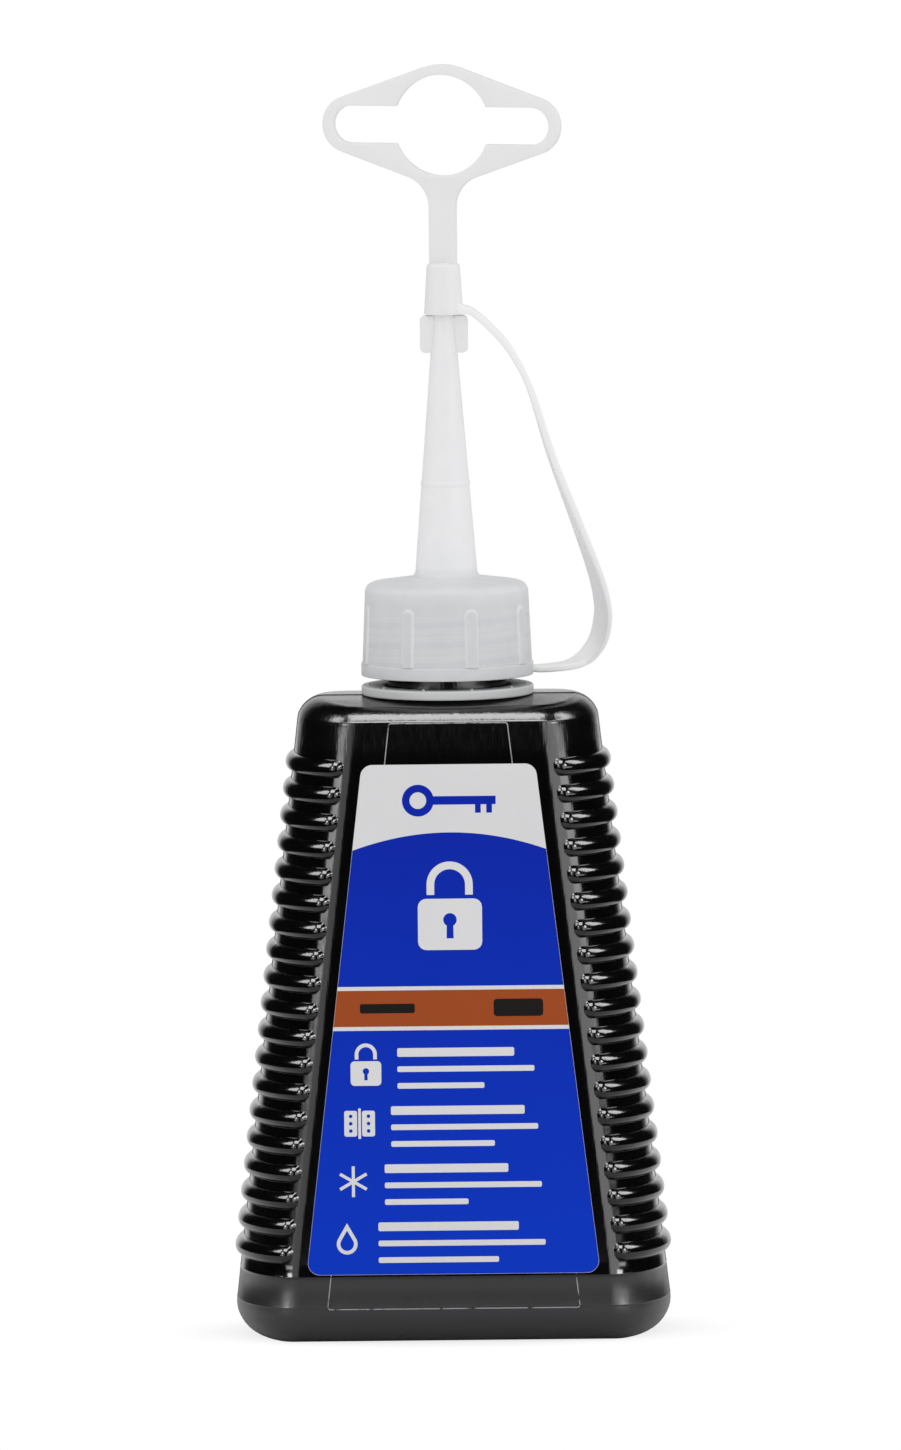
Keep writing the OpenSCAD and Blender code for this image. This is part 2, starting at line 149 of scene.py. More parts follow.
def feed(tree, node, **wires):
    """The node, with its inputs wired or set by name."""
    for label, value in wires.items():
        place = node.inputs[label.replace("_", " ")]
        if isinstance(value, Field):
            tree.links.new(value.socket, place)
        elif isinstance(value, bpy.types.NodeSocket):
            tree.links.new(value, place)
        else:
            place.default_value = value
    return node


def add_node(tree, kind, **wires):
    return feed(tree, tree.nodes.new(kind), **wires)


def end_tree(tree, given, mesh):
    """Closes seams and poles, and ends the tree with plain geometry and its material."""
    merged = add_node(tree, "GeometryNodeMergeByDistance", Geometry=mesh, Distance=1e-7)
    real = add_node(tree, "GeometryNodeRealizeInstances", Geometry=merged.outputs[0])
    painted = add_node(tree, "GeometryNodeSetMaterial", Geometry=real.outputs[0], Material=given["Material"])
    tree.links.new(painted.outputs[0], tree.nodes.new("NodeGroupOutput").inputs[0])


def lattice(tree, given, columns):
    """Closed sheet with a row for each given point: the sheet, its row and its column."""
    count = add_node(tree, "GeometryNodeAttributeDomainSize", Geometry=given["Points"])
    across = columns + 1.0
    sheet = add_node(
        tree, "GeometryNodeMeshGrid", Vertices_X=count.outputs["Point Count"], Vertices_Y=across
    )
    index = Field(tree, tree.nodes.new("GeometryNodeInputIndex").outputs[0])
    row = ((index + 0.5) / across).floor()
    column = index - row * across
    return sheet.outputs["Mesh"], row, column - columns * (column / columns).floor()


def row_value(tree, given, name, row):
    """A value that each row's point carries."""
    named = add_node(tree, "GeometryNodeInputNamedAttribute", Name=name).outputs["Attribute"]
    node = add_node(tree, "GeometryNodeSampleIndex", Geometry=given["Points"], Value=named, Index=row)
    return Field(tree, node.outputs[0])


def placed(tree, sheet, x, y, z):
    spot = add_node(tree, "ShaderNodeCombineXYZ", X=x, Y=y, Z=z)
    return add_node(tree, "GeometryNodeSetPosition", Geometry=sheet, Position=spot.outputs[0]).outputs[0]


def thread_crest(z, turn, pitch):
    """Right-hand thread: 1 on the crest, 0 between crests."""
    half_crest, flank = 0.85 * MM, 0.5 * MM
    off = ((z / pitch - turn / (2 * pi)).fract() - 0.5).size() * pitch
    return ((half_crest - off) / flank).eased()


def thread_share(z, low, high, fade=0.8):
    """Share of a thread's depth at a height, which fades out at both ends."""
    share = max(0, min(1, (z - low) / fade, (high - z) / fade))
    return share * share * (3 - 2 * share)


def plain_mesh(name, points, faces=(), edges=(), materials=()):
    mesh = bpy.data.meshes.new(name)
    mesh.from_pydata(points, edges, faces)
    for material in materials:
        mesh.materials.append(material)
    return mesh


def rows_of(names, rows):
    """Mesh of one point for each row, which carries the row's values."""
    mesh = plain_mesh("rows", [(0, 0, 0)] * len(rows))
    for i, name in enumerate(names):
        values = [float(r[i]) for r in rows]
        mesh.attributes.new(name, "FLOAT", "POINT").data.foreach_set("value", values)
    return mesh


def linked(name, data):
    piece = bpy.data.objects.new(name, data)
    scene.collection.objects.link(piece)
    return piece


def smoothed(mesh, sharp=40):
    """Outward faces, smooth but for the edges over an angle."""
    mesh.calc_loop_triangles()
    corners = ([mesh.vertices[i].co for i in t.vertices] for t in mesh.loop_triangles)
    if sum(a.dot(b.cross(c)) for a, b, c in corners) < 0:
        mesh.flip_normals()
    mesh.shade_smooth()
    mesh.set_sharp_from_angle(angle=radians(sharp))
    mesh.update()


def grown(name, points, tree, sizes, material):
    """Runs a tree on points and keeps what grows as a plain mesh."""
    carrier = linked(name + "_points", points)
    modifier = carrier.modifiers.new("grow", "NODES")
    modifier.node_group = tree
    sockets = {s.name: s.identifier for s in tree.interface.items_tree if s.in_out == "INPUT"}
    for label, value in dict(sizes, Material=material).items():
        modifier[sockets[label]] = value
    graph = bpy.context.evaluated_depsgraph_get()
    mesh = bpy.data.meshes.new_from_object(carrier.evaluated_get(graph), depsgraph=graph)
    bpy.data.objects.remove(carrier)
    bpy.data.meshes.remove(points)
    mesh.name = name
    smoothed(mesh)
    return linked(name, mesh)


# Finishes

def new_finish(name):
    """New material with its tree and its shader."""
    material = bpy.data.materials.new(name)
    material.use_nodes = True
    tree = material.node_tree
    shader = next(n for n in tree.nodes if n.type == "BSDF_PRINCIPLED")
    return material, tree, shader


def noise(tree, scale, stretch=(1, 1, 1), detail=2.0):
    """Noise on the piece's own place, as a field round 0.5."""
    place = tree.nodes.new("ShaderNodeTexCoord").outputs["Object"]
    drawn_out = add_node(tree, "ShaderNodeMapping", Vector=place, Scale=stretch).outputs["Vector"]
    node = add_node(tree, "ShaderNodeTexNoise", Vector=drawn_out, Scale=scale, Detail=detail)
    return Field(tree, node.outputs[0])


def own_place(tree, coordinates="Object"):
    """The piece's own place, or a way into the world, as three fields."""
    place = tree.nodes.new("ShaderNodeTexCoord").outputs[coordinates]
    split = add_node(tree, "ShaderNodeSeparateXYZ", Vector=place)
    return [Field(tree, axis) for axis in split.outputs]


def ramp(z, start, end):
    """Rises smoothly from 0 at one height to 1 at another, both in millimetres."""
    return ((z - start * MM) / ((end - start) * MM)).eased()


def bumped(tree, shader, *layers):
    """Stacks of bump, each a field and its height in metres."""
    below = {}
    for field, height in layers:
        node = add_node(tree, "ShaderNodeBump", Height=field, Distance=height, **below)
        below = {"Normal": node.outputs[0]}
    feed(tree, shader, **below)


def toned(tree, shader, field, dark, light):
    """Base colour that runs from dark to light with a field."""
    node = tree.nodes.new("ShaderNodeMix")
    node.data_type = "RGBA"
    colours = [s for s in node.inputs if s.type == "RGBA"]
    colours[0].default_value, colours[1].default_value = (*dark, 1), (*light, 1)
    tree.links.new(field.within(0.0, 1.0).socket, node.inputs[0])
    feed(tree, shader, Base_Color=next(s for s in node.outputs if s.type == "RGBA"))


def black_polyethylene():
    """Glossy blow-moulded black, drawn into fine streaks above the ribs and duller on the foot, whose paler
    base colour is painted sheen.
    """
    material, tree, shader = new_finish("black_polyethylene")
    streaks = noise(tree, 2600, (1, 1, 0.12), 3)
    waves = noise(tree, 240, (1, 1, 0.5))
    dust = noise(tree, 5200, detail=1)
    z = own_place(tree)[2]
    foot = ramp(z, FOOT_TOP_Z, FOOT_TOP_Z - 0.6)
    drawn = ramp(z, 87.0, 90.0) * 0.7 + 0.3
    rough = waves * 0.06 + streaks * drawn * 0.16 + foot * 0.2 + 0.08
    feed(tree, shader, Roughness=rough, IOR=1.54)
    # Base colour: a random dust speckle, and a paler foot that is painted sheen standing in for the floor's
    # reflection in its duller finish.
    toned(tree, shader, dust * 0.06 + foot * 0.9, (0.0008, 0.0008, 0.001), (0.02, 0.02, 0.0207))
    bumped(tree, shader, (waves, 6e-5), (streaks * drawn, 4.5e-5))
    return material


def mould_edge():
    """Mould's edge line painted pale in most places as a painted highlight, black where that highlight
    breaks.
    """
    material, tree, shader = new_finish("mould_edge")
    broken_glint = ((noise(tree, 800, detail=3) - 0.3) / 0.2).eased()
    # The pale tone is a painted highlight standing in for light caught by the fine ridge; noise breaks it
    # into dashes.
    toned(tree, shader, broken_glint, (0.006, 0.006, 0.0065), (0.3, 0.3, 0.31))
    feed(tree, shader, Roughness=broken_glint * 0.3 + 0.2)
    return material


def thread_lines(tree):
    """Painted lines of the thread inside the skirt, from -1 to 1: painted light and shade standing in for how
    the thread shows through its wall.
    """
    x, y, z = own_place(tree)
    climb = (z / (THREAD_PITCH * MM)) * (2 * pi) - x.math("ARCTAN2", y * -1.0)
    lines = climb.sin() * 0.45 + (climb * 2.0 + 1.0).sin() * 0.35 + (climb * 5.0 + 2.0).sin() * 0.2
    return lines * ramp(z, 100.6, 101.2) * ramp(z, 109.8, 108.8)


def see_through(tree):
    """How light the cap is painted: painted shade where the black neck shows through its skirt, lighter on
    its roof and spout, with painted thread lines and painted highlights on the grip ribs' flanks.
    """
    z = own_place(tree)[2]
    rib = tree.nodes.new("ShaderNodeAttribute")
    rib.attribute_name = "rib"
    rise = Field(tree, rib.outputs["Fac"])
    # Painted highlight on each grip rib's flanks, and a little painted shade on its top.
    flank = rise * (1.0 - rise) * 4.0
    skirt = thread_lines(tree) * (1.0 - rise) * 0.13 + flank * 0.38 - rise * 0.03
    # Painted shade on the skirt in front of the black neck, a lighter tone on the roof and more on the spout.
    return skirt + ramp(z, 109.6, 112.2) * 0.2 + ramp(z, 113.2, 115.4) * 0.6


def natural_polyethylene(name, dark, light, threaded=False):
    """Milky plastic, faintly clouded. Light wanders a little in the threaded skirt, whose tone also carries
    painted light and shade.
    """
    material, tree, shader = new_finish(name)
    clouds = noise(tree, 420, (1, 1, 0.6), 3)
    grain = noise(tree, 3600)
    # In the threaded skirt the tone adds the painted shade and highlights of see_through; elsewhere it is
    # even.
    tone = clouds * 0.3 + (see_through(tree) if threaded else 0.35)
    toned(tree, shader, tone, dark, light)
    feed(tree, shader, Roughness=clouds * 0.1 + grain * 0.06 + 0.4, Specular_IOR_Level=0.1)
    if threaded:
        feed(tree, shader, Subsurface_Weight=0.3, Subsurface_Scale=0.8 * MM)
        feed(tree, shader, Subsurface_Radius=(1.0, 1.0, 1.0))
    bumped(tree, shader, (clouds, 6e-6), (grain, 5e-7))
    return material


def print_finish(name, dark, light, fade=0.0):
    """Ink or film with a faint print grain, which may lighten towards the label's foot."""
    material, tree, shader = new_finish(name)
    grain = noise(tree, 4200, detail=1)
    cloud = noise(tree, 130)
    low = 1.0 - own_place(tree)[2] / (SHOULDER_Z * MM)
    toned(tree, shader, (grain * 0.6 + cloud * 0.4) * (1.0 - fade) + low * fade, dark, light)
    feed(tree, shader, Roughness=grain * 0.1 + cloud * 0.08 + 0.45, Specular_IOR_Level=0.04)
    bumped(tree, shader, (cloud, 2.5e-5), (grain, 1.5e-6))
    return material


def graphite():
    """Fine dark grey powder with a metal glint."""
    material, tree, shader = new_finish("graphite")
    grain = noise(tree, 6000, detail=4)
    toned(tree, shader, grain, (0.03, 0.03, 0.032), (0.12, 0.12, 0.125))
    feed(tree, shader, Roughness=grain * 0.3 + 0.45, Metallic=0.35)
    bumped(tree, shader, (grain, 1.5e-4))
    return material


BLACK, EDGE = black_polyethylene(), mould_edge()
NATURAL = natural_polyethylene("natural_polyethylene", (0.81, 0.81, 0.82), (0.9, 0.9, 0.905))
# Darker copy of the natural plastic: painted shade for the ring under the cap with the black bottle behind
# it.
RING = natural_polyethylene("natural_painted_shade", (0.58, 0.585, 0.59), (0.7, 0.705, 0.71))
SKIRT = natural_polyethylene("threaded_skirt", (0.64, 0.655, 0.675), (0.89, 0.89, 0.9), True)
# Lighter copy of the natural plastic: painted light standing in for the light that passes through the thin
# strap.
STRAP = natural_polyethylene("natural_painted_light", (0.91, 0.91, 0.915), (0.95, 0.95, 0.955))
STOCK = print_finish("label_stock", (0.7, 0.7, 0.71), (0.77, 0.77, 0.78))
BLUE = print_finish("blue_ink", (0.0008, 0.012, 0.35), (0.0005, 0.045, 0.62), 0.9)
COPPER = print_finish("copper_ink", (0.33, 0.066, 0.0145), (0.4, 0.078, 0.018))
WHITE = print_finish("white_ink", (0.72, 0.72, 0.73), (0.79, 0.79, 0.8))
DARK = print_finish("dark_ink", (0.01, 0.008, 0.008), (0.016, 0.013, 0.012))


# Bottle

SKIN_ROWS = ("z", "inset", "lean", "seam", "bead", "skin", "round", "radius", "thread")


def arc(n, low, high):
    return [low + (high - low) * i / n for i in range(n + 1)]


def bend(n, start, end):
    """Shares of a rounding's radius, along and across, at turns in degrees."""
    turns = [radians(t) for t in arc(n, start, end)]
    return [(1 - cos(t), 1 - sin(t)) for t in turns]


def bottle_rows():
    """Rows from the middle of the base up the outside, over the lip and down the inside."""
    rows = []

    def row(z, inset=0.0, lean=0.0, seam=0.0, bead=0.0, skin=0, round_=0.0, radius=0.0, thread=0.0):
        place = (z * MM, inset * MM, radians(lean))
        rows.append(place + (seam, bead * MM, skin, round_, radius * MM, thread))

    bead_steps = ((-0.16, 0), (-0.07, 0.8), (0, 1), (0.07, 0.8), (0.16, 0))

    def ringed_bead(z, height):
        for dz, share in bead_steps:
            row(z + dz, bead=height * share, seam=1)

    def shoulder_row(turn, bead=0.0):
        t = radians(turn)
        drop = SHOULDER_ROUND * (1 - cos(t))
        row(SHOULDER_Z - drop, SHOULDER_ROUND * (1 - sin(t)), 90 - turn, 1, bead)

    def round_row(z, radius, thread=0.0):
        row(z, SHOULDER_ROUND, round_=1, radius=radius, thread=thread)

    # base, pushed in a little inside its bearing edge
    push = 0.45
    row(push, FOOT_ROUND, -90, 0, round_=1, radius=0)
    for r in (3, 6, BASE_HUB_R):
        row(push, FOOT_ROUND, -90, 1, round_=1, radius=r)
    rise = ((0.6, push, 1), (0.3, push, 1), (0.17, 0.42, 1), (0.11, 0.2, 0.3), (0.08, 0.03, 0))
    for round_, z, seam in rise:
        row(z, FOOT_ROUND, -90, seam, round_=round_, radius=BASE_HUB_R)
    row(0, FOOT_ROUND, -90, 0, round_=0.055, radius=BASE_HUB_R)
    for t in arc(11, 0, 90):
        turn = radians(t)
        row(FOOT_ROUND * (1 - cos(turn)), FOOT_ROUND * (1 - sin(turn)), t - 90, min(1, t / 40))
    # wall with fine mould lines, and the ribs
    ringed_bead(FOOT_ROUND + 0.3, 0.05)
    row(8, seam=1)
    ringed_bead(FOOT_TOP_Z, 0.06)
    for i in range(RIB_COUNT):
        for t in arc(12, 0, 180):
            across = -cos(radians(t))
            row(RIB_FIRST_Z + i * RIB_PITCH + across * RIB_H / 2, seam=1, skin=1)
    for z in (89.2, 90.8):
        row(z, seam=1)
    # shoulder's rounding, with the parting line of the mould's top near its foot
    parting = 77
    for t in (90, 86, 82):
        shoulder_row(t)
    for step, share in bead_steps:
        shoulder_row(parting - degrees(step / SHOULDER_ROUND), PARTING_PROUD * share)
    for t in arc(10, 72, 0):
        shoulder_row(t)
    # shoulder, in to the neck
    fillet = 0.4
    for round_ in (0.25, 0.5, 0.75):
        row(SHOULDER_Z, SHOULDER_ROUND, 90, 1, round_=round_, radius=NECK_R + fillet)
    for along, across in bend(4, 0, 90):
        round_row(SHOULDER_Z + fillet * along, NECK_R + fillet * across)
    # neck with its thread, lip and bore
    thread_low, thread_high = 99.6, 108.4
    round_row(98, NECK_R)
    for z in arc(56, thread_low - 0.2, thread_high + 0.2):
        round_row(z, NECK_R, thread_share(z, thread_low, thread_high))
    lip, inner_lip = 0.45, 0.3
    for across, along in bend(5, 0, 90):
        round_row(NECK_TOP_Z - lip * along, NECK_R - lip * across)
    for across, along in bend(4, 90, 0):
        round_row(NECK_TOP_Z - inner_lip * along, NECK_BORE_R + inner_lip * across)
    for z in (104, 99, SHOULDER_Z - WALL + fillet):
        round_row(z, NECK_BORE_R)
    # inside
    for round_ in (1, 0.6, 0.3):
        row(SHOULDER_Z - WALL, SHOULDER_ROUND, round_=round_, radius=NECK_BORE_R + fillet)
    inner = SHOULDER_ROUND - WALL
    for along, across in bend(5, 0, 90):
        row(SHOULDER_Z - WALL - inner * along, WALL + inner * across)
    for z in (70, 48, 26):
        row(z, WALL)
    inner = FOOT_ROUND - WALL
    for along, across in bend(6, 90, 0):
        row(WALL + inner * along, WALL + inner * across)
    for round_, radius in ((0.4, BASE_HUB_R), (1, BASE_HUB_R), (1, 4), (1, 0)):
        row(WALL, FOOT_ROUND, round_=round_, radius=radius)
    return rows_of(SKIN_ROWS, rows)


# Columns from a side's front corner to its back corner, as (how many, degrees), and over a flat
SIDE_STEPS = [(4, 7.5), (10, 11.5), (16, 69.4), (4, 1.6), (4, 1.6), (16, 69.4), (10, 11.5), (4, 7.5)]
SIDE_COLUMNS, FLAT_COLUMNS = sum(n for n, _ in SIDE_STEPS), 24

BOTTLE_SIZES = {
    "Columns": 2 * (SIDE_COLUMNS + FLAT_COLUMNS), "Foot Width": BASE_W * MM, "Foot Depth": BASE_D * MM,
    "Shoulder Width": SHOULDER_W * MM, "Shoulder Depth": SHOULDER_D * MM,
    "Wall Foot": FOOT_ROUND * MM, "Wall Top": WALL_TOP_Z * MM, "Side Bow": SIDE_BOW * MM,
    "Shoulder Round": SHOULDER_ROUND * MM, "Shoulder Fall": SHOULDER_FALL * MM,
    "Rib Count": RIB_COUNT, "First Rib": RIB_FIRST_Z * MM, "Rib Pitch": RIB_PITCH * MM,
    "Rib Height": RIB_H * MM, "Rib Proud": RIB_PROUD * MM, "Rib Wrap": radians(RIB_WRAP),
    "Seam Proud": 0.09 * MM, "Seam Half Width": radians(1.0),
    "Thread Pitch": THREAD_PITCH * MM, "Thread Depth": NECK_THREAD * MM,
}


def bottle_tree():
    """Plan with flat front and back and bowed sides, swollen by ribs that end in balls."""
    tree, given, size = new_tree("moulded_bottle", BOTTLE_SIZES)
    sheet, row, column = lattice(tree, given, size["Columns"])
    at = {name: row_value(tree, given, name, row) for name in SKIN_ROWS}
    z = at["z"]
    half = size["Columns"] * 0.5
    second = (column / half).floor()
    side = 1.0 - 2.0 * second
    step = column - half * second
    turn, start = -0.5 * pi, 0
    for n, sweep in SIDE_STEPS:
        turn = turn + ((step - start) / float(n)).within(0.0, 1.0) * radians(sweep)
        start += n
    flat = ((step - float(SIDE_COLUMNS)) / float(FLAT_COLUMNS)).within(0.0, 1.0)
    share = (z - size["Wall Foot"]) / (size["Wall Top"] - size["Wall Foot"])
    width = size["Foot Width"] + (size["Shoulder Width"] - size["Foot Width"]) * share
    depth = size["Foot Depth"] + (size["Shoulder Depth"] - size["Foot Depth"]) * share
    bow, wrap = size["Side Bow"], size["Rib Wrap"]
    a, b = bow - at["inset"], depth * 0.5 - at["inset"]
    c, s = turn.cos(), turn.sin()
    nx, ny = c / a, s / b
    n = (nx * nx + ny * ny).root()
    # a rib is half round across and ends in a ball
    half_rib = size["Rib Height"] * 0.5
    mean_depth = (size["Foot Depth"] + size["Shoulder Depth"]) * 0.25
    wrap_s, wrap_c = wrap.sin() * bow, wrap.cos() * mean_depth
    end_turn = half_rib / (wrap_s * wrap_s + wrap_c * wrap_c).root()
    along = ((turn.size() - wrap) / end_turn).within(0.0, 1.0)
    nearest = ((z - size["First Rib"]) / size["Rib Pitch"] + 0.5).floor()
    nearest = nearest.within(0.0, size["Rib Count"] - 1.0)
    across = (z - size["First Rib"] - nearest * size["Rib Pitch"]) / half_rib
    bulge = (1.0 - across * across - along * along).root() * at["skin"]
    swell = size["Rib Proud"] * bulge
    seam = (1.0 - turn.size() / size["Seam Half Width"]).eased() * at["seam"] * (1.0 - bulge)
    ridge = size["Seam Proud"] * seam + at["bead"]
    out = swell + ridge * at["lean"].cos()
    x = side * ((width * 0.5 - bow) * (1.0 - 2.0 * flat) + a * c + nx / n * out)
    y = side * (b * s + ny / n * out)
    # rows that are round, or on the way to it
    reach = (x * x + y * y).root().math("MAXIMUM", 1e-6)
    crest = thread_crest(z, y.math("ARCTAN2", x), size["Thread Pitch"])
    wanted = (at["radius"] + size["Thread Depth"] * crest * at["thread"]) / reach
    pull = 1.0 + at["round"] * (wanted - 1.0)
    # the shoulder falls a little towards the front and the back
    fall = ((z - size["Wall Top"]) / size["Shoulder Round"]).within(0.0, 1.0) * (1.0 - at["round"])
    height = z + ridge * at["lean"].sin() - size["Shoulder Fall"] * s * s * fall
    end_tree(tree, given, placed(tree, sheet, x * pull, y * pull, height))
    return tree


bottle = grown("bottle", bottle_rows(), bottle_tree(), BOTTLE_SIZES, BLACK)
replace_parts(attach(bottle, "bottle"), "bottle")


def front_point(u, v, w):
    """Place on the leaning front: across, up from the foot's rounding, and out of it."""
    s, c = sin(FRONT_LEAN), cos(FRONT_LEAN)
    return (u * MM, (-BASE_D / 2 + v * s - w * c) * MM, (FOOT_ROUND + v * c + w * s) * MM)


def round_corner(corners, r, n=6):
    """Loop with round corners, anticlockwise."""
    loop, count = [], len(corners)
    for i in range(count):
        p = Vector(corners[i])
        a, b = (Vector(corners[i - 1]) - p).normalized(), (Vector(corners[(i + 1) % count]) - p).normalized()
        half = acos(max(-1, min(1, a.dot(b)))) / 2
        centre = p + (a + b).normalized() * (r / sin(half))
        first = p + a * (r / tan(half)) - centre
        sweep = pi - 2 * half
        start = atan2(first.y, first.x)
        turns = [start + sweep * k / n for k in range(n + 1)]
        loop += [(centre.x + r * cos(t), centre.y + r * sin(t)) for t in turns]
    return loop


def even_corners(low_half, low, high_half, high):
    """Corners of a four-sided shape, even about its middle line."""
    return [(-low_half, low), (low_half, low), (high_half, high), (-high_half, high)]


LINE_SIZES = {"Line Radius": 0.1 * MM, "Sides": 8}
LINE_SUNK = 0.05


def line_tree():
    """Fine raised line along a loop of points, as a mould's edge leaves it."""
    tree, given, size = new_tree("mould_line", LINE_SIZES)
    path = add_node(tree, "GeometryNodeMeshToCurve", Mesh=given["Points"])
    ring = add_node(
        tree, "GeometryNodeCurvePrimitiveCircle", Resolution=size["Sides"], Radius=size["Line Radius"]
    )
    swept = add_node(tree, "GeometryNodeCurveToMesh", Curve=path.outputs[0], Profile_Curve=ring.outputs[0])
    end_tree(tree, given, swept.outputs[0])
    return tree


def panel_edge(way):
    """Edge of the mould's panel, up to the shoulder's rounding: 1 for the front, -1 for the back."""
    top = (WALL_TOP_Z + 0.5 - FOOT_ROUND) / cos(FRONT_LEAN)
    foot_half, top_half, low, corner = 18.9, 8.85, 0.02, 0.4
    loop = round_corner(even_corners(foot_half, low, top_half, top), corner)
    path = [front_point(u, v, -LINE_SUNK) for u, v in loop]
    edges = [(i, (i + 1) % len(path)) for i in range(len(path))]
    return plain_mesh("loop", [(x, y * way, z) for x, y, z in path], edges=edges)


line = line_tree()
for name, way in (("front_panel_line", 1), ("back_panel_line", -1)):
    panel = grown(name, panel_edge(way), line, LINE_SIZES, EDGE)
    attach(panel, "bottle")


# Label

def drawn_in(loop, by):
    """Loop moved to its left by a distance, corner by corner."""
    moved, count = [], len(loop)
    for i in range(count):
        p, q, r = (Vector(loop[(i + k) % count]) for k in (-1, 0, 1))
        a, b = (q - p).normalized(), (r - q).normalized()
        left = Vector((-a.y - b.y, a.x + b.x)).normalized()
        moved.append(tuple(q + left * (by / max(0.5, left.dot(Vector((-a.y, a.x)))))))
    return moved


def flat_solid(loops, low, high, soft=0.0, n=3):
    """Points and faces of a flat shape with holes, between two heights, with its edges rounded."""
    def anticlockwise(loop):
        return sum(p[0] * q[1] - q[0] * p[1] for p, q in zip(loop, loop[1:] + loop[:1])) > 0

    loops = [loop if anticlockwise(loop) == (i == 0) else loop[::-1] for i, loop in enumerate(loops)]
    steps = [radians(90 * k / n) for k in range(n + 1)] if soft else [radians(90)]
    rings = [(soft * (1 - sin(t)), low + soft * (1 - cos(t))) for t in steps]
    rings += [(inset, low + high - z) for inset, z in reversed(rings)]
    points = [(*p, z) for inset, z in rings for loop in loops for p in drawn_in(loop, inset)]
    count = len(points) // len(rings)
    top = count * (len(rings) - 1)
    faces = []
    for t in tessellate_polygon([[Vector((*p, 0)) for p in drawn_in(loop, soft)] for loop in loops]):
        a, b, c = (Vector(points[i][:2]) for i in t)
        t = t if (b - a).cross(c - a) > 0 else t[::-1]
        faces += [[i + top for i in t], list(t[::-1])]
    for level in range(len(rings) - 1):
        start = level * count
        for loop in loops:
            m = len(loop)
            for i in range(m):
                a, b = start + i, start + (i + 1) % m
                faces.append([a, b, b + count, a + count])
            start += m
    return points, faces


def label_half(v):
    """Half the label's width at a height above its lower edge."""
    return (LABEL_W + (LABEL_TOP_W - LABEL_W) * v / LABEL_H) / 2


def circle(x, y, r, n, start=0.0, sweep=360.0):
    closed = abs(sweep) >= 360
    count = n if closed else n + 1
    turns = [radians(start + sweep * i / n) for i in range(count)]
    return [(x + r * cos(t), y + r * sin(t)) for t in turns]


def block(x, y, w, h, r):
    """Block with round corners, from its lower left corner."""
    return [round_corner([(x, y), (x + w, y), (x + w, y + h), (x, y + h)], r, 4)]


def field_loop(low, high, crown=0.0, inset=0.04):
    """Printed field from edge to edge of the label, with a top that may rise to the middle."""
    a, b = label_half(low) - inset, label_half(high) - inset
    top = [(b * (1 - i / 12), high + crown * (1 - (1 - i / 12) ** 2)) for i in range(25)]
    if low > 0:
        return [(-a, low), (a, low)] + top
    loop = round_corner(even_corners(a, inset, b, high), LABEL_CORNER - inset)
    low_corners = [p for p in loop if p[1] < high / 2]
    return low_corners + [(b, high), (-b, high)]


def padlock(x, y, k):
    """Padlock with a keyhole, k millimetres wide."""
    body = block(x - k / 2, y, k, 0.8 * k, 0.13 * k)[0]
    slit = 0.055 * k
    eye = circle(x, y + 0.47 * k, 0.105 * k, 20, -60, 300)
    keyhole = eye + [(x - slit, y + 0.18 * k), (x + slit, y + 0.18 * k)]
    top = y + 0.86 * k
    shackle = []
    for r, start, sweep in ((0.36 * k, 0, 180), (0.24 * k, 180, -180)):
        bow = circle(x, top + 0.16 * k, r, 24, start, sweep)
        shackle += [(bow[0][0], top)] + bow + [(bow[-1][0], top)]
    return [[body, keyhole], [shackle]]


def key(x, y, k):
    """Plain key with a round bow, k millimetres long."""
    bow_x, r, half = x - 0.33 * k, 0.17 * k, 0.045 * k
    tip = x + 0.5 * k
    gap = degrees(asin(half / r))
    teeth = []
    for share in (0.28, 0.40):
        left, right = x + share * k, x + (share + 0.06) * k
        teeth += [(left, y - half), (left, y - 3 * half), (right, y - 3 * half), (right, y - half)]
    outline = circle(bow_x, y, r, 36, gap, 360 - 2 * gap - 0.01) + teeth + [(tip, y - half), (tip, y + half)]
    return [[outline, circle(bow_x, y, 0.09 * k, 24)]]


def hinge(x, y, k):
    """Open hinge: two leaves with screw holes on a pin."""
    shapes = []
    for side in (-1, 1):
        left = x + (0.08 * k if side > 0 else -0.5 * k)
        leaf = block(left, y - 0.42 * k, 0.42 * k, 0.84 * k, 0.07 * k)
        holes = [circle(left + 0.21 * k, y + dy * k, 0.06 * k, 14) for dy in (-0.24, 0, 0.24)]
        shapes.append(leaf + holes)
    shapes.append(block(x - 0.045 * k, y - 0.5 * k, 0.09 * k, k, 0.03 * k))
    return shapes


def frost(x, y, k):
    """Six-armed frost star."""
    loop = []
    for i in range(6):
        mid = radians(30 + 60 * i)
        ax, ay = cos(mid), sin(mid)
        w = 0.05 * k
        for across in (-w, w):
            loop.append((x + ax * 0.5 * k - ay * across, y + ay * 0.5 * k + ax * across))
        nook = mid + radians(30)
        loop.append((x + cos(nook) * 2 * w, y + sin(nook) * 2 * w))
    return [[loop]]


def drop(x, y, k):
    """Drop, hollow."""
    def outline(r):
        low = circle(x, y - 0.14 * k, r, 28, 150, 240)
        return low + [(x, y - 0.14 * k + 2.0 * r)]
    return [[outline(0.34 * k), outline(0.22 * k)]]


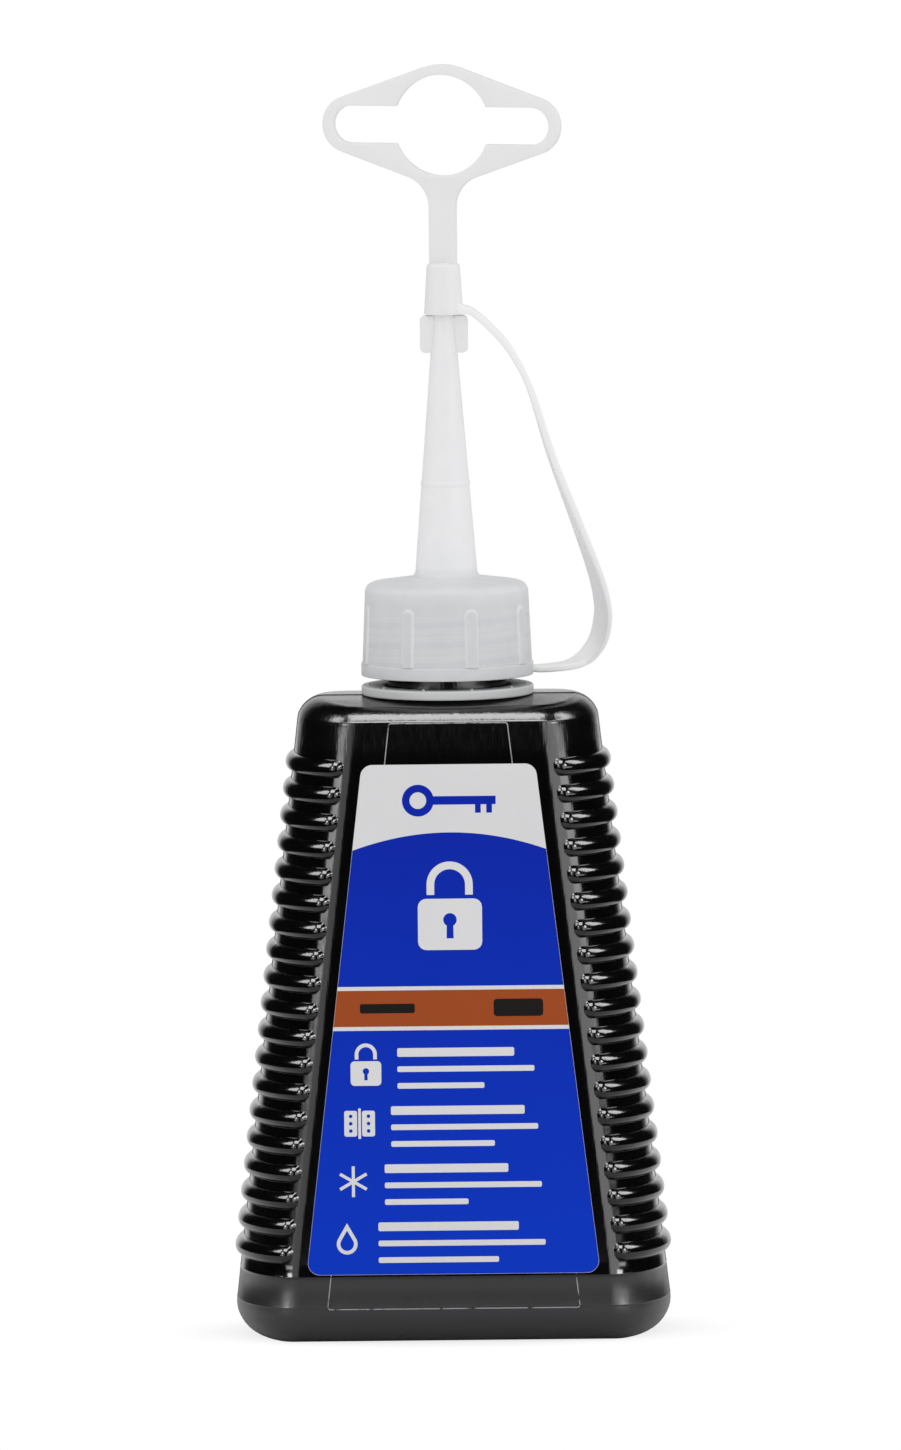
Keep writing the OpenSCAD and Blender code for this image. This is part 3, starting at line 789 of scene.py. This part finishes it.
def prints():
    """Everything printed, as (ink, height above the stock in inks, loops)."""
    blue, copper, white, dark = range(4)
    band_low, band_high, rule = 37.2, 42.6, 0.6
    field_top, field_crown = 63.6, 2.6
    flat = [(blue, 0, [field_loop(0, band_low - rule)]), (copper, 0, [field_loop(band_low, band_high)])]
    flat.append((blue, 0, [field_loop(band_high + rule, field_top, field_crown)]))
    key_y, key_long, lock_y, lock_wide = 71.0, 14, 48.6, 9.6
    flat += [(blue, 0, shape) for shape in key(0, key_y, key_long)]
    flat += [(white, 1, shape) for shape in padlock(0, lock_y, lock_wide)]
    # two plain bars on the band
    flat.append((dark, 1, block(-13.6, 39.2, 8.2, 1.4, 0.3)))
    flat.append((dark, 1, block(6.4, 38.6, 7.4, 2.6, 0.5)))
    # four marks down the lower field, each with three bars beside it
    marks, k = (padlock, hinge, frost, drop), 4.6
    lengths = ((17.5, 20.5, 13), (20, 22, 15.5), (18.5, 23.5, 12.5), (21, 25, 18))
    first_y, step, margin, gap, bar_rise, bar_step = 31.4, 8.7, 3.2, 2.4, 1.9, 2.5
    for i, (mark, bars) in enumerate(zip(marks, lengths)):
        y = first_y - step * i
        left = -label_half(y) + margin
        foot = y - (0.66 * k if mark is padlock else 0)
        flat += [(white, 1, shape) for shape in mark(left + k / 2, foot, k)]
        for j, length in enumerate(bars):
            thick = 1.3 if j == 0 else 0.85
            bar_y = y + bar_rise - bar_step * j - thick / 2
            flat.append((white, 1, block(left + k + gap, bar_y, length, thick, 0.25)))
    return flat


def on_front(name, solids, materials):
    """Flat solids laid on the front, as one piece."""
    points, faces, inks = [], [], []
    for ink, (solid_points, solid_faces) in solids:
        faces += [[i + len(points) for i in f] for f in solid_faces]
        inks += [ink] * len(solid_faces)
        points += [front_point(u, LABEL_LOW + v, w) for u, v, w in solid_points]
    mesh = plain_mesh(name, points, faces, materials=materials)
    mesh.polygons.foreach_set("material_index", inks)
    mesh.update()
    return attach(linked(name, mesh), "bottle")


label_corners = even_corners(LABEL_W / 2, 0, LABEL_TOP_W / 2, LABEL_H)
stock_loop = round_corner(label_corners, LABEL_CORNER, 10)
label = on_front("front_label", [(0, flat_solid([stock_loop], 0.0, STOCK_T))], [STOCK])
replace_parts(label, "front_label")
inked = [
    (ink, flat_solid(loops, STOCK_T + level * INK_T, STOCK_T + (level + 1) * INK_T))
    for ink, level, loops in prints()
]
on_front("label_print", inked, [BLUE, COPPER, WHITE, DARK])


# Ring, screw cap and tip cap

TURNED_ROWS = ("r", "z", "grip", "thread")
TURNED_SIZES = {
    "Columns": 320, "Grip Ribs": 8, "Rib Width": 2.25 * MM, "Rib Proud": 0.35 * MM, "Rib Edge": 0.42 * MM,
    "Rib Top": GRIP_TOP_Z * MM, "First Rib": radians(GRIP_TURN), "Thread Pitch": THREAD_PITCH * MM,
    "Thread Depth": CAP_THREAD * MM, "Thread Start": THREAD_PITCH / 2 * MM,
}


def turned_tree():
    """Turned piece with grip ribs round it and a thread, where its rows ask for them."""
    tree, given, size = new_tree("turned_piece", TURNED_SIZES)
    sheet, row, column = lattice(tree, given, size["Columns"])
    at = {name: row_value(tree, given, name, row) for name in TURNED_ROWS}
    turn = column / size["Columns"] * (2 * pi)
    beat = (2 * pi) / size["Grip Ribs"]
    off = (((turn - size["First Rib"]) / beat + 0.5).fract() - 0.5) * beat * at["r"]
    above = (at["z"] - size["Rib Top"]).math("MAXIMUM", 0.0)
    edge = (size["Rib Width"] * 0.5 - (off * off + above * above).root()) / size["Rib Edge"]
    crest = thread_crest(at["z"] + size["Thread Start"], turn, size["Thread Pitch"])
    rib = edge.eased() * at["grip"]
    radius = at["r"] + size["Rib Proud"] * rib - size["Thread Depth"] * crest * at["thread"]
    skin = placed(tree, sheet, radius * turn.cos(), radius * turn.sin(), at["z"])
    flank = add_node(tree, "GeometryNodeStoreNamedAttribute", Geometry=skin, Name="rib", Value=rib)
    end_tree(tree, given, flank.outputs[0])
    return tree


def turned(name, rows, columns, material):
    """Piece of rows of radius and height, some of which add shares of grip rib and thread."""
    points = rows_of(TURNED_ROWS, [(r * MM, z * MM, *(shares or (0, 0))) for r, z, *shares in rows])
    return grown(name, points, turning, dict(TURNED_SIZES, Columns=columns), material)


def rounded(r, z, radius, start, end, n=5):
    """Rows round a corner, about its middle, by turns in degrees from straight out."""
    return circle(r, z, radius, n, start, end - start)


def spout_r(z):
    """Radius of the spout's outside at a height."""
    return SPOUT_R + (SPOUT_TIP_R - SPOUT_R) * (z - SPOUT_Z) / (SPOUT_TIP_Z - SPOUT_Z)


def ring_rows():
    edge = 0.28
    low, high = RING_Z + edge, RING_Z + RING_T - edge
    outer, inner = RING_R - edge, RING_HOLE_R + edge
    rows = rounded(outer, low, edge, -90, 0) + rounded(outer, high, edge, 0, 90)
    rows += rounded(inner, high, edge, 90, 180) + rounded(inner, low, edge, 180, 270)
    return rows + rows[:1]


def cap_rows():
    """Rows from the rim up the outside to the spout's tip, and back down the inside."""
    rim_top, edge = RIM_Z + RIM_H, 0.22
    rows = rounded(RIM_R - edge, RIM_Z + edge, edge, -90, 0, 4)
    rows += rounded(RIM_R - edge, rim_top - edge, edge, 0, 90, 4)
    skirt_top_z = CAP_EDGE_Z + CAP_ROUND * sin(radians(CAP_DRAFT))
    for z in arc(34, rim_top, 110.0):
        share = (z - rim_top) / (skirt_top_z - rim_top)
        rows.append((SKIRT_FOOT_R + (SKIRT_TOP_R - SKIRT_FOOT_R) * share, z, 1, 0))
    rows += rounded(CAP_EDGE_R, CAP_EDGE_Z, CAP_ROUND, CAP_DRAFT, 90 - CAP_SLOPE, 8)
    slope = tan(radians(CAP_SLOPE))
    flare = 0.7
    for r in (9, 7.4, 6.2, SPOUT_R + flare):
        rows.append((r, SPOUT_Z - (r - SPOUT_R) * slope))
    low_z, flare_h, last = SPOUT_Z - flare * slope, 0.8, radians(75)
    for i in range(1, 6):
        t = radians(i * 15)
        z = low_z + (flare_h + flare * slope) * (1 - cos(t)) / (1 - cos(last))
        rows.append((spout_r(z) + flare * (1 - sin(t) / sin(last)), z))
    rows += [(spout_r(z), z) for z in (117, 121, 125)]
    for dz, share in ((-0.6, 0), (-0.4, 0), (-0.2, 0.75), (0, 1), (0.2, 0.75), (0.4, 0), (0.6, 0)):
        rows.append((spout_r(BEAD_Z + dz) + share * BEAD_PROUD, BEAD_Z + dz))
    rows += [(spout_r(z), z) for z in (133, 139, 145, 151, 155)]
    lip = 0.2
    rows += rounded(SPOUT_TIP_R - lip, SPOUT_TIP_Z - lip, lip, 5, 90, 4)
    rows.append((SPOUT_TIP_BORE_R, SPOUT_TIP_Z))
    for z in arc(8, SPOUT_TIP_Z - lip, ROOF_UNDER_Z):
        share = (z - ROOF_UNDER_Z) / (SPOUT_TIP_Z - ROOF_UNDER_Z)
        rows.append((SPOUT_BORE_R + (SPOUT_TIP_BORE_R - SPOUT_BORE_R) * share, z))
    # plug and the roof's inner corner, with small chamfers
    rows += [(PLUG_BORE_R, ROOF_UNDER_Z), (PLUG_BORE_R, PLUG_Z + 0.2), (PLUG_BORE_R + 0.2, PLUG_Z)]
    rows += [(PLUG_R - 0.3, PLUG_Z), (PLUG_R, PLUG_Z + 0.5), (PLUG_R, ROOF_UNDER_Z)]
    rows += [(SKIRT_BORE_R - 0.4, ROOF_UNDER_Z), (SKIRT_BORE_R, ROOF_UNDER_Z - 0.4)]
    low, high = 100.4, 108.6
    for z in arc(46, high + 0.1, low - 0.1):
        rows.append((SKIRT_BORE_R, z, 0, thread_share(z, low, high)))
    rows += [(SKIRT_BORE_R, RIM_Z + 0.25), (SKIRT_BORE_R + 0.25, RIM_Z)]
    return rows + rows[:1]


def tip_rows():
    """Rows of the cup that closes the spout, from inside its socket to the middle of its top."""
    top, lip = SPOUT_TIP_Z + TIP_PLAY, 0.2
    rows = [(0, top), (0.7, top), (SPOUT_TIP_R + 0.1, top - 0.05)]
    rows += [(spout_r(z) + TIP_PLAY, z) for z in (top - 0.3, 156, 154, TIP_Z + 0.15)]
    rows += [(spout_r(TIP_Z) + TIP_PLAY + 0.12, TIP_Z)]
    rows += rounded(TIP_R - lip, TIP_Z + lip, lip, -90, 0, 4)
    for z in arc(6, TIP_Z + 1.2, TIP_TOP_Z - TIP_ROUND - 0.4):
        share = (z - TIP_Z) / (TIP_TOP_Z - TIP_ROUND - TIP_Z)
        rows.append((TIP_R + (TIP_TOP_R - TIP_R) * share, z))
    rows += rounded(TIP_TOP_R - TIP_ROUND, TIP_TOP_Z - TIP_ROUND, TIP_ROUND, 0, 90, 6)
    return rows + [(1.0, TIP_TOP_Z), (0, TIP_TOP_Z)]


turning = turned_tree()
ring = turned("tamper_ring", ring_rows(), 160, RING)
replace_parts(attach(ring, "tamper_ring"), "tamper_ring")
cap = turned("spout_cap", cap_rows(), 320, SKIRT)
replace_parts(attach(cap, "spout_cap"), "spout_cap")
cup = turned("tip_cap", tip_rows(), 72, NATURAL)
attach(cup, "tip_cap")

NUB_SIZES = {"Nubs": 10, "Nub Place": 11.75 * MM, "Nub Radius": 0.34 * MM, "Nub Height": 0.3 * MM,
             "Nub Foot": (RING_Z + RING_T - 0.1) * MM}


def nub_tree():
    """Torn bridges on the ring's top, evenly round it."""
    tree, given, size = new_tree("torn_bridges", NUB_SIZES)
    places = add_node(tree, "GeometryNodeMeshCircle", Vertices=size["Nubs"], Radius=size["Nub Place"])
    nub = add_node(
        tree, "GeometryNodeMeshCone", Vertices=10, Radius_Top=size["Nub Radius"] * 0.55,
        Radius_Bottom=size["Nub Radius"], Depth=size["Nub Height"],
    )
    spread = add_node(tree, "GeometryNodeInstanceOnPoints", Points=places.outputs[0], Instance=nub.outputs[0])
    lift = add_node(tree, "ShaderNodeCombineXYZ", Z=size["Nub Foot"])
    raised = add_node(tree, "GeometryNodeSetPosition", Geometry=spread.outputs[0], Offset=lift.outputs[0])
    end_tree(tree, given, raised.outputs[0])
    return tree


nubs = grown("ring_bridges", bpy.data.meshes.new("none"), nub_tree(), NUB_SIZES, RING)
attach(nubs, "tamper_ring")


def upright(name, loops, thickness, turn, z, body, soft):
    """Plate that stands on the axis, turned about it, with soft edges."""
    points, faces = flat_solid(loops, -thickness / 2, thickness / 2, soft)
    c, s = cos(radians(turn)), sin(radians(turn))
    places = [((x * c + w * s) * MM, (x * s - w * c) * MM, (z + y) * MM) for x, y, w in points]
    mesh = plain_mesh(name, places, faces, materials=[NATURAL])
    smoothed(mesh)
    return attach(linked(name, mesh), body)


def eye_loops():
    """Plate round the hanging eye with its stem, and the hole with its slot."""
    lean = asin((EYE_R - EYE_END_R) / EYE_END_X)
    deg = degrees(lean)
    s, c = sin(lean), cos(lean)
    fx = STEM_W / 2 + STEM_FILLET
    fy = (s * fx - EYE_R - STEM_FILLET) / c
    foot = TIP_TOP_Z - EYE_Z - STEM_SUNK
    right = [(STEM_W / 2, foot)] + circle(fx, fy, STEM_FILLET, 14, 180, -(90 - deg))
    right += circle(EYE_END_X, 0, EYE_END_R, 28, -(90 - deg), 180 - 2 * deg)
    crown = circle(0, 0, EYE_R, 12, 90 - deg, 2 * deg)
    outer = right + crown + [(-x, y) for x, y in reversed(right)]
    end_x, half = (SLOT_W - SLOT_H) / 2, SLOT_H / 2
    dip = degrees(asin(half / EYE_HOLE_R))
    hole = circle(end_x, 0, half, 20, -90, 180) + circle(0, 0, EYE_HOLE_R, 32, dip, 180 - 2 * dip)
    hole += [(-x, -y) for x, y in hole]
    return [outer, hole]


eye = upright("hanging_eye", eye_loops(), EYE_T, EYE_TURN, EYE_Z, "tip_cap", EYE_SOFT)
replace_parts(eye, "tip_cap")
wing = WING_SPAN / 2
wing_loop = round_corner(even_corners(wing, -WING_H, wing, 0), WING_CORNER)
upright("spout_wings", [wing_loop], WING_T, 0, WING_TOP_Z, "spout_cap", WING_SOFT)


# Strap, whose way between its stubs is in thousandths of its reach and of its rise

STRAP_BENDS = [
    (615, -12), (893, -6), (994, 40), (1000, 112), (943, 200),
    (769, 383), (604, 580), (489, 762), (424, 839), (341, 907), (256, 954), (194, 983),
]


def strap_line(steps=10):
    """Middle line of the strap and its bearing round the axis, from inside the rim to the tip cap."""
    low_sunk, high_sunk, rise = 1.1, 1.8, STRAP_HIGH_Z - STRAP_LOW_Z
    way = [(STRAP_LOW_R - low_sunk, STRAP_LOW_Z), (STRAP_LOW_R, STRAP_LOW_Z)]
    way += [(STRAP_REACH * out / 1000, STRAP_LOW_Z + rise * up / 1000) for out, up in STRAP_BENDS]
    way += [(STRAP_HIGH_R, STRAP_HIGH_Z), (STRAP_HIGH_R - high_sunk, STRAP_HIGH_Z)]
    nodes = [np.array(place) for place in way]
    last = len(nodes) - 1
    profile = []
    for i in range(last):
        a, b, c, d = (nodes[max(0, min(last, i + k))] for k in (-1, 0, 1, 2))
        for k in range(steps):
            t = k / steps
            profile.append(b + t / 2 * (c - a + t * (2 * a - 5 * b + 4 * c - d + t * (3 * (b - c) + d - a))))
    profile = np.array(profile + [nodes[last]])
    left = np.clip(1 - (profile[:, 1] - STRAP_LOW_Z) / rise, 0, 1)
    bearing = np.radians(STRAP_TURN) * left ** STRAP_UNTWIST
    line = np.c_[profile[:, 0] * np.cos(bearing), profile[:, 0] * np.sin(bearing), profile[:, 1]]
    return line, bearing


def strap_mesh():
    line, bearing = strap_line()
    half_w, half_t = STRAP_W / 2, STRAP_T / 2
    section = round_corner(even_corners(half_w, -half_t, half_w, half_t), STRAP_CORNER, 4)
    rings, n = [], len(line)
    for i in range(n):
        level = np.array((cos(bearing[i]), sin(bearing[i]), 0))
        along = level if i == 0 else -level if i == n - 1 else line[i + 1] - line[i - 1]
        along = along / np.linalg.norm(along)
        flat = np.array((-sin(bearing[i]), cos(bearing[i]), 0))
        across = flat - flat.dot(along) * along
        across /= np.linalg.norm(across)
        up = np.cross(along, across)
        # a web on top of each end joins it to what it is moulded to
        low, high = np.linalg.norm(line[i] - line[0]), np.linalg.norm(line[i] - line[-1])
        root = ROOT_WEB_H * max(0, 1 - low / ROOT_WEB_LONG) ** 2
        tip = TIP_WEB_H * max(0, 1 - high / TIP_WEB_LONG) ** 2
        rings.append([line[i] + p * across + (q + (root if q > 0 else -tip)) * up for p, q in section])
    m = len(section)
    points = np.array(rings).reshape(-1, 3) * MM
    faces = [
        (i * m + j, i * m + (j + 1) % m, (i + 1) * m + (j + 1) % m, (i + 1) * m + j)
        for i in range(n - 1) for j in range(m)
    ]
    faces += [tuple(range(m))[::-1], tuple((n - 1) * m + j for j in range(m))]
    mesh = plain_mesh("tether_strap", points.tolist(), faces, materials=[STRAP])
    smoothed(mesh, 50)
    return mesh


strap = linked("tether_strap", strap_mesh())
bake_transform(strap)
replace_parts(strap, "tether_strap")

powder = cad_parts["graphite_powder"]
powder.data.materials.clear()
powder.data.materials.append(graphite())


# Studio

def studio_floor():
    """Pale round table, plain white to the camera but for a faint shadow round the foot."""
    radius, back, sides = 0.21, 0.02, 72
    material, tree, shader = new_finish("pale_floor")
    points = [(x, y, 0) for x, y in circle(0, back, radius, sides)]
    mesh = plain_mesh("floor", points, [tuple(range(sides))], materials=[material])
    feed(tree, shader, Base_Color=(0.86, 0.86, 0.86, 1), Roughness=0.9, Specular_IOR_Level=0.1)
    x, y, _ = own_place(tree)
    x, y = x / (BASE_W / 2 * MM), y / (BASE_D / 2 * MM)
    near = (1.0 - ((x * x + y * y).root() - 0.9) / 0.5).eased()
    rays = tree.nodes.new("ShaderNodeLightPath")
    seen = Field(tree, rays.outputs["Is Camera Ray"]) + Field(tree, rays.outputs["Is Transmission Ray"])
    white = tree.nodes.new("ShaderNodeEmission")
    mixed = add_node(tree, "ShaderNodeMixShader", Fac=seen.within(0.0, 1.0) * (1.0 - 0.2 * near))
    tree.links.new(shader.outputs[0], mixed.inputs[1])
    tree.links.new(white.outputs[0], mixed.inputs[2])
    output = next(n for n in tree.nodes if n.type == "OUTPUT_MATERIAL")
    feed(tree, output, Surface=mixed.outputs[0])
    linked("floor", mesh)


def studio_world():
    """White to the camera, white behind and dim in front for gloss, else a fill, more from the right."""
    world = bpy.data.worlds.new("studio")
    world.use_nodes = True
    world.cycles.sampling_method = "NONE"
    scene.world = world
    tree = world.node_tree
    background = next(n for n in tree.nodes if n.type == "BACKGROUND")
    rays = tree.nodes.new("ShaderNodeLightPath")
    camera, glossy, through = (
        Field(tree, rays.outputs[name]) for name in ("Is Camera Ray", "Is Glossy Ray", "Is Transmission Ray")
    )
    side, back, up = own_place(tree, "Generated")
    screen = ((back - 0.9) / 0.08).eased() * ((0.5 - up) / 0.3).eased()
    fill = 1.0 - (camera + glossy + through).within(0.0, 1.0)
    level = camera + through * 0.95 + glossy * (screen * 0.95 + 0.01) + fill * (side * 0.06 + 0.92)
    feed(tree, background, Color=(1, 1, 1, 1), Strength=level)


LAMP_AIM_Z = 80
# Lamps that show in gloss alone: degrees from the front to the right and up, width, height and level
SOFTBOXES = {
    "left_panel": (-46, 25, 0.24, 0.34, 15), "right_panel": (56, 25, 0.28, 0.34, 15),
    "left_glow": (-30, 10, 0.6, 0.7, 1.3), "right_glow": (36, 10, 0.6, 0.7, 3.0),
    "left_band": (-48, 4, 0.4, 0.12, 6), "right_band": (64, 4, 0.4, 0.12, 6),
    "left_strip": (-84, 38, 0.4, 0.5, 9), "right_strip": (98, 38, 0.4, 0.5, 9),
    "top_softbox": (-10, 66, 0.8, 0.7, 12),
}


def softbox(name, turn, rise, width, height, level):
    """Lamp a metre from the middle of the bottle, turned towards it."""
    turn, rise = radians(turn), radians(rise)
    way = Vector((sin(turn) * cos(rise), -cos(turn) * cos(rise), sin(rise)))
    data = bpy.data.lights.new(name, "AREA")
    data.shape, data.size, data.size_y = "RECTANGLE", width, height
    data.energy = level * pi * width * height
    lamp = linked(name, data)
    lamp.location = Vector((0, 0, LAMP_AIM_Z * MM)) + way
    lamp.rotation_euler = (-way).to_track_quat("-Z", "Y").to_euler()
    lamp.visible_diffuse = lamp.visible_transmission = False


def photo_camera():
    """Long lens a little above the bottle, with the small roll of the photograph."""
    pixel, high, sensor, roll = 0.15, 1450, 36, radians(-0.59)
    aim = Vector((0.38, 0, 91.2)) * MM
    place = Vector((0.38, -4500, 506)) * MM
    way = aim - place
    data = bpy.data.cameras.new("camera")
    data.sensor_width = sensor
    data.lens = sensor * way.length / (high * pixel * MM)
    data.clip_end = 100
    camera = linked("camera", data)
    camera.matrix_world = (
        Matrix.Translation(place) @ way.to_track_quat("-Z", "Y").to_matrix().to_4x4()
        @ Matrix.Rotation(roll, 4, "Z")
    )
    scene.camera = camera


studio_floor()
studio_world()
for name, place in SOFTBOXES.items():
    softbox(name, *place)
photo_camera()
scene.view_settings.view_transform = "Standard"
